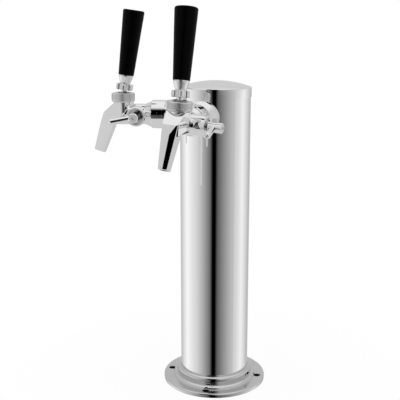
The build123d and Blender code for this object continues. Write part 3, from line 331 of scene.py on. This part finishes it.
def raise_surface(tree, shader, height, depth, strength):
    """Bump that a pattern of heights gives the shader."""
    bump = tree.nodes.new("ShaderNodeBump")
    bump.inputs["Distance"].default_value = depth
    bump.inputs["Strength"].default_value = strength
    tree.links.new(height, bump.inputs["Height"])
    tree.links.new(bump.outputs["Normal"], shader.inputs["Normal"])


def make_polished(name, tone, roughness):
    """Mirror-polished metal, its roughness from clean to smeared."""
    clean, smeared = roughness
    material, tree, shader, effect = start_material(
        name, HAND_POLISH, {"Clean Roughness": clean, "Smeared Roughness": smeared}
    )
    shader.inputs["Base Color"].default_value = grey(tone)
    shader.inputs["Metallic"].default_value = 1.0
    raise_surface(tree, shader, effect.outputs["Scratches"], SCRATCH_DEPTH, SCRATCH_STRENGTH)
    return material


def make_satin(name, tones, roughness):
    """Satin or fine turned metal, its tones and its roughness each from low to high."""
    values = {
        "Low Tone": tones[0],
        "High Tone": tones[1],
        "Low Roughness": roughness[0],
        "High Roughness": roughness[1],
    }
    material, tree, shader, effect = start_material(name, SATIN_GRAIN, values)
    shader.inputs["Metallic"].default_value = 1.0
    colour = tree.nodes.new("ShaderNodeCombineColor")
    for channel in ("Red", "Green", "Blue"):
        tree.links.new(effect.outputs["Tone"], colour.inputs[channel])
    tree.links.new(colour.outputs["Color"], shader.inputs["Base Color"])
    raise_surface(tree, shader, effect.outputs["Height"], GRAIN_DEPTH, GRAIN_STRENGTH)
    return material


def make_moulded(name, colours, roughness, depth, specular=PLAIN_SPECULAR):
    """Moulded plastic or rubber, with pebbles of a depth, its colours from dark to light."""
    values = {
        "Dark Colour": colours[0],
        "Light Colour": colours[1],
        "Low Roughness": roughness[0],
        "High Roughness": roughness[1],
    }
    material, tree, shader, effect = start_material(name, MOULDED_SKIN, values)
    shader.inputs["Specular IOR Level"].default_value = specular
    tree.links.new(effect.outputs["Colour"], shader.inputs["Base Color"])
    raise_surface(tree, shader, effect.outputs["Height"], depth, PEBBLE_STRENGTH)
    return material


def flat_top_mask(tree):
    """1 where the surface faces up, 0 where it slopes, or faces sideways or down."""
    surface = tree.nodes.new("ShaderNodeNewGeometry")
    facing = split_vector(tree, surface.outputs["Normal"])
    return spread(tree, facing["Z"], FLAT_TOP_WINDOW, smooth=True)


def bolt_hole_shade_mask(tree):
    """1 inside the flange's bolt holes, which get painted shade, 0 on its top and its rim."""
    place = split_vector(tree, object_place(tree))
    across, along = (math_node(tree, "POWER", place[axis], 2) for axis in ("X", "Y"))
    radius = math_node(tree, "SQRT", math_node(tree, "ADD", across, along))
    inside = math_node(tree, "LESS_THAN", radius, FLANGE_RADIUS - FLANGE_RIM)
    sunk = spread(tree, place["Z"], (FLANGE_TOP - HOLE_SHADE_DEPTH, FLANGE_TOP), (1.0, 0.0))
    return math_node(tree, "MULTIPLY", inside, sunk)


def make_flange_steel():
    """Satin on the flange's flat top, polished on its collar and rim, with painted shade in its
    bolt holes.
    """
    material = make_satin("flange_steel", tones=(0.64, 0.75), roughness=(0.16, 0.26))
    tree = material.node_tree
    shader = tree.nodes["Principled BSDF"]
    satin, steel = (
        shader.inputs[label].links[0].from_socket for label in ("Roughness", "Base Color")
    )
    gloss = blend(tree, "FLOAT", flat_top_mask(tree), COLLAR_ROUGHNESS, satin)
    tree.links.new(gloss, shader.inputs["Roughness"])
    # painted shade: the bolt holes' countersinks are darkened in colour, standing in for the shade
    # of their depth
    hole_shaded = blend(tree, "RGBA", bolt_hole_shade_mask(tree), steel, grey(HOLE_SHADE_TONE))
    tree.links.new(hole_shaded, shader.inputs["Base Color"])
    return material


FINISHES = {
    "polished_steel": make_polished("polished_steel", tone=0.93, roughness=(0.02, 0.05)),
    "satin_steel": make_satin("satin_steel", tones=(0.66, 0.78), roughness=(0.24, 0.36)),
    "turned_steel": make_satin("turned_steel", tones=(0.76, 0.86), roughness=(0.12, 0.22)),
    "grip_plastic": make_moulded(
        "grip_plastic",
        colours=(grey(0.0005), grey(0.0015)),
        roughness=(0.3, 0.4),
        depth=0.00001,
        specular=GRIP_SPECULAR,
    ),
    "seal_rubber": make_moulded(
        "seal_rubber", colours=(grey(0.015), grey(0.04)), roughness=(0.6, 0.8), depth=0.00004
    ),
    "washer_plastic": make_moulded(
        "washer_plastic",
        colours=((0.7, 0.69, 0.65, 1.0), (0.8, 0.79, 0.75, 1.0)),
        roughness=(0.4, 0.55),
        depth=0.00002,
    ),
}
FLANGE_STEEL = make_flange_steel()
COLLAR_STEEL = make_satin("collar_steel", tones=(0.82, 0.92), roughness=(0.20, 0.30))


def dress_nodes():
    """Give each node its recorded finish, but softer steel to the flange and the collars."""
    for subpart in frame["record"]["subparts"]:
        node = NODES[subpart["node"]]
        node.data.materials.clear()
        node.data.materials.append(FINISHES[subpart["material_slot"]])
    NODES["base_flange"].data.materials[0] = FLANGE_STEEL
    for side in TAP_ANGLES:
        for piece in ("handle_ferrule", "star_collar"):
            NODES[f"{side}_{piece}"].data.materials[0] = COLLAR_STEEL


# ---------------------------------------------------------------- bonnet knurl

def make_knurl_tree():
    """Ring of upright ribs, built about Z."""
    tree = bpy.data.node_groups.new("upright_knurl", "GeometryNodeTree")
    face = tree.interface
    face.new_socket("Geometry", in_out="INPUT", socket_type="NodeSocketGeometry")
    for label, kind in (
        ("Ring Radius", "NodeSocketFloat"),
        ("Rib Radius", "NodeSocketFloat"),
        ("Rib Height", "NodeSocketFloat"),
        ("Rib Count", "NodeSocketInt"),
        ("Finish", "NodeSocketMaterial"),
    ):
        face.new_socket(label, in_out="INPUT", socket_type=kind)
    face.new_socket("Geometry", in_out="OUTPUT", socket_type="NodeSocketGeometry")
    entry = tree.nodes.new("NodeGroupInput")
    leave = tree.nodes.new("NodeGroupOutput")
    ring = tree.nodes.new("GeometryNodeMeshCircle")
    rib = tree.nodes.new("GeometryNodeMeshCylinder")
    rib.inputs["Vertices"].default_value = KNURL_RIB_SIDES
    place = tree.nodes.new("GeometryNodeInstanceOnPoints")
    realize = tree.nodes.new("GeometryNodeRealizeInstances")
    finish = tree.nodes.new("GeometryNodeSetMaterial")
    link = tree.links.new
    link(entry.outputs["Rib Count"], ring.inputs["Vertices"])
    link(entry.outputs["Ring Radius"], ring.inputs["Radius"])
    link(entry.outputs["Rib Radius"], rib.inputs["Radius"])
    link(entry.outputs["Rib Height"], rib.inputs["Depth"])
    link(ring.outputs["Mesh"], place.inputs["Points"])
    link(rib.outputs["Mesh"], place.inputs["Instance"])
    link(place.outputs["Instances"], realize.inputs["Geometry"])
    link(realize.outputs["Geometry"], finish.inputs["Geometry"])
    link(entry.outputs["Finish"], finish.inputs["Material"])
    link(finish.outputs["Geometry"], leave.inputs["Geometry"])
    return tree


def grow_mesh(name, tree, values):
    """Run a geometry tree once with its named values and keep the plain mesh."""
    seed = bpy.data.objects.new(name + "_seed", bpy.data.meshes.new(name + "_seed"))
    bpy.context.scene.collection.objects.link(seed)
    modifier = seed.modifiers.new("grow", "NODES")
    modifier.node_group = tree
    for item in tree.interface.items_tree:
        if item.in_out == "INPUT" and item.name in values:
            modifier[item.identifier] = values[item.name]
    bpy.context.view_layer.update()
    seen = seed.evaluated_get(bpy.context.evaluated_depsgraph_get())
    mesh = bpy.data.meshes.new_from_object(seen)
    seed.modifiers.remove(modifier)
    bpy.data.objects.remove(seed)
    mesh.name = name
    piece = bpy.data.objects.new(name, mesh)
    bpy.context.scene.collection.objects.link(piece)
    return piece


def place_on_tap(piece, side, height):
    """Move a piece built about Z onto a tap's upright axis, rolled and turned as that faucet is."""
    mesh = piece.data
    roll = Euler((0, math.radians(FAUCET_ROLLS[side]), 0)).to_matrix()
    turn = Euler((0, 0, math.radians(TAP_ANGLES[side]))).to_matrix()
    axis_point = Vector((0, 0, SHANK_HEIGHT))
    for vertex in mesh.vertices:
        stood = vertex.co + Vector((0, -TOWER_FORWARD, height))
        vertex.co = turn @ (roll @ (stood - axis_point) + axis_point)
    mesh.update()


def make_bonnet_knurls():
    """Ribs round both bonnets."""
    tree = make_knurl_tree()
    sizes = {
        "Ring Radius": BONNET_RADIUS - KNURL_RIB_RADIUS / 2,
        "Rib Radius": KNURL_RIB_RADIUS,
        "Rib Height": KNURL_TOP - KNURL_BOTTOM,
        "Rib Count": KNURL_RIBS,
        "Finish": FINISHES["satin_steel"],
    }
    for side in TAP_ANGLES:
        knurl = grow_mesh(f"{side}_bonnet_knurl", tree, sizes)
        place_on_tap(knurl, side, (KNURL_TOP + KNURL_BOTTOM) / 2)
        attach(knurl, "tower")


# ---------------------------------------------------------------- studio

def seen_place(side, front, height):
    """Point given as the camera sees it: right of the tower's axis, in front of it, and high."""
    yaw = math.radians(CAMERA_YAW)
    return (
        side * math.cos(yaw) + front * math.sin(yaw),
        side * math.sin(yaw) - front * math.cos(yaw),
        height,
    )


def make_camera():
    """Camera that looks a little down at the tower."""
    camera_data = bpy.data.cameras.new("camera")
    camera_data.lens = CAMERA_LENS
    camera_data.sensor_width = SENSOR_WIDTH
    camera = bpy.data.objects.new("camera", camera_data)
    camera.location = seen_place(CAMERA_SIDE, CAMERA_DISTANCE, CAMERA_HEIGHT)
    camera.rotation_euler = (math.radians(90 - CAMERA_PITCH), 0, math.radians(CAMERA_YAW))
    bpy.context.scene.collection.objects.link(camera)
    bpy.context.scene.camera = camera


def wall_ramp(tree, share, tones):
    """Colour ramp once round the tent, from its list of angles and tones."""
    ramp = tree.nodes.new("ShaderNodeValToRGB")
    ramp.color_ramp.interpolation = "LINEAR"
    stops = ramp.color_ramp.elements
    while len(stops) > 1:
        stops.remove(stops[-1])
    for index, (angle, tone) in enumerate(tones):
        position = (angle + 180) / 360
        stop = stops[0] if index == 0 else stops.new(position)
        stop.position = position
        stop.color = grey(tone)
    tree.links.new(share, ramp.inputs["Fac"])
    return ramp.outputs["Color"]


def make_tent():
    """Tent of grey and white cloth whose tone changes with direction, dark behind the camera."""
    world = bpy.data.worlds.new("tent")
    world.use_nodes = True
    bpy.context.scene.world = world
    tree = world.node_tree
    direction = tree.nodes.new("ShaderNodeTexCoord").outputs["Generated"]
    parts = split_vector(tree, direction)
    # angle from the camera's direction, which lies at the yaw less a quarter turn
    bearing = math_node(tree, "ARCTAN2", parts["Y"], parts["X"])
    away = math_node(tree, "SUBTRACT", bearing, math.radians(CAMERA_YAW - 90))
    turned = math_node(tree, "ADD", away, math.pi)
    share = math_node(tree, "FRACT", math_node(tree, "DIVIDE", turned, 2 * math.pi))
    rise = math_node(tree, "ARCSINE", parts["Z"])
    colour = wall_ramp(tree, share, TENT_LOW_TONES)
    for window, tone in (
        (TENT_SPLIT_RISE, wall_ramp(tree, share, TENT_HIGH_TONES)),
        (TENT_ROOF_RISE, grey(TENT_ROOF_TONE)),
        (TENT_FLOOR_RISE, grey(TENT_FLOOR_TONE)),
    ):
        start, end = (math.radians(angle) for angle in window)
        reached = spread(tree, rise, (start, end), smooth=True)
        colour = blend(tree, "RGBA", reached, colour, tone)
    # plain white where the camera looks straight at the backdrop
    seen = tree.nodes.new("ShaderNodeLightPath")
    colour = blend(tree, "RGBA", seen.outputs["Is Camera Ray"], colour, grey(1.0))
    tree.links.new(colour, tree.nodes["Background"].inputs["Color"])


def mix_shaders(tree, share, first, second):
    """Mix Shader node; returns its result."""
    mix = tree.nodes.new("ShaderNodeMixShader")
    for socket, source in zip(mix.inputs, (share, first, second)):
        tree.links.new(source, socket)
    return mix.outputs["Shader"]


def make_floor_paper():
    """Paper that keeps the shadow, glows white to the camera and lets the metal mirror the tent."""
    material = bpy.data.materials.new("floor_paper")
    material.use_nodes = True
    tree = material.node_tree
    tree.nodes.remove(tree.nodes["Principled BSDF"])
    ray = tree.nodes.new("ShaderNodeLightPath").outputs
    centre_distance = tree.nodes.new("ShaderNodeVectorMath")
    centre_distance.operation = "LENGTH"
    tree.links.new(object_place(tree), centre_distance.inputs[0])
    away = centre_distance.outputs["Value"]
    paper = tree.nodes.new("ShaderNodeBsdfDiffuse")
    paper.inputs["Color"].default_value = grey(PAPER_TONE)
    glow = tree.nodes.new("ShaderNodeEmission")
    clear = tree.nodes.new("ShaderNodeBsdfTransparent")
    # under the flange the paper stays solid and unlit, so the open bolt holes look dark
    outside = math_node(tree, "GREATER_THAN", away, FLANGE_RADIUS)
    # the paper fades into the backdrop beyond the tower's shadow
    shadow = (FLOOR_SHADOW_START, FLOOR_SHADOW_END)
    glow_share = spread(tree, away, shadow, (FLOOR_GLOW, 1.0), smooth=True)
    glow_share = math_node(tree, "MULTIPLY", glow_share, outside)
    glow_share = math_node(tree, "MULTIPLY", ray["Is Camera Ray"], glow_share)
    lit = mix_shaders(tree, glow_share, paper.outputs["BSDF"], glow.outputs["Emission"])
    mirrored = math_node(tree, "MAXIMUM", ray["Is Glossy Ray"], ray["Is Transmission Ray"])
    mirrored = math_node(tree, "MULTIPLY", mirrored, outside)
    shown = mix_shaders(tree, mirrored, lit, clear.outputs["BSDF"])
    tree.links.new(shown, tree.nodes["Material Output"].inputs["Surface"])
    return material


def make_floor():
    """Pale floor under the tower."""
    corner = FLOOR_HALF_WIDTH
    mesh = bpy.data.meshes.new("floor")
    mesh.from_pydata(
        [(-corner, -corner, 0), (corner, -corner, 0), (corner, corner, 0), (-corner, corner, 0)],
        [],
        [(0, 1, 2, 3)],
    )
    floor = bpy.data.objects.new("floor", mesh)
    bpy.context.scene.collection.objects.link(floor)
    mesh.materials.append(make_floor_paper())


def add_softbox(name, width, length, power, place):
    """Rectangular area light that points down until it is turned."""
    light_data = bpy.data.lights.new(name, "AREA")
    light_data.shape = "RECTANGLE"
    light_data.size = width
    light_data.size_y = length
    light_data.energy = power
    light = bpy.data.objects.new(name, light_data)
    light.location = place
    bpy.context.scene.collection.objects.link(light)
    return light


def make_top_light():
    """Wide softbox overhead, which the metal doesn't mirror."""
    place = (0.0, 0.0, TOP_LIGHT_HEIGHT)
    light = add_softbox("top_light", TOP_LIGHT_WIDTH, TOP_LIGHT_WIDTH, TOP_LIGHT_POWER, place)
    light.visible_glossy = False


def make_tap_light():
    """Small softbox in front of the left tap, with a grid that keeps it off the column."""
    place = seen_place(TAP_LIGHT_SIDE, TAP_LIGHT_FRONT, TAP_LIGHT_HEIGHT)
    light = add_softbox("tap_light", TAP_LIGHT_WIDTH, TAP_LIGHT_LENGTH, TAP_LIGHT_POWER, place)
    light.data.spread = math.radians(TAP_LIGHT_SPREAD)
    turn = math.radians(CAMERA_YAW) - math.radians(TAP_LIGHT_TURN)
    light.rotation_euler = (math.radians(90 + TAP_LIGHT_LIFT), 0, turn)
    light.visible_camera = False


# ---------------------------------------------------------------- making

bpy.context.scene.view_settings.view_transform = "Standard"
make_camera()
make_tent()
make_floor()
make_top_light()
make_tap_light()
dress_nodes()
make_bonnet_knurls()
